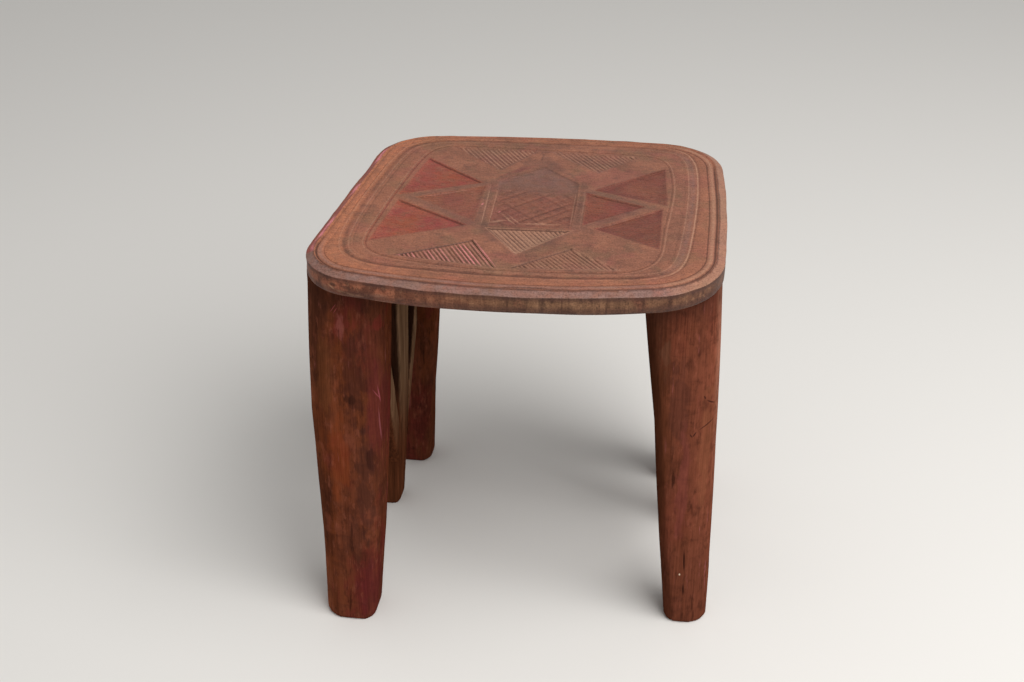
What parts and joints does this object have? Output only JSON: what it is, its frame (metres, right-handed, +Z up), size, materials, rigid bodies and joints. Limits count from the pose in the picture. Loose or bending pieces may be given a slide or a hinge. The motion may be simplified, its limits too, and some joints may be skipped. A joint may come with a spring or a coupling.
{
  "type": "carved side table",
  "caption": "Low hand-carved hardwood side table with a rounded incised top, tapered corner legs and forked side supports.",
  "frame": {"origin": "on the floor, under the middle of the table's bounding box", "axes": "+Z up, -Y towards the front, +X to the right as seen from the front"},
  "size_m": [0.388, 0.3634, 0.4],
  "materials": {
    "carved_top_wood": "red-brown stain with worn satin sheen",
    "stained_leg_wood": "dark red-brown stain, satin",
    "bare_support_wood": "dull, thinly stained"
  },
  "bodies": {
    "root": {"table_top": "carved_top_wood", "front_left_leg": "stained_leg_wood", "front_right_leg": "stained_leg_wood", "back_right_leg": "stained_leg_wood", "back_left_leg": "stained_leg_wood", "left_middle_leg": "bare_support_wood", "right_middle_leg": "bare_support_wood", "left_front_brace": "bare_support_wood", "left_back_brace": "bare_support_wood", "right_front_brace": "bare_support_wood", "right_back_brace": "bare_support_wood"}
  },
  "joints": []
}
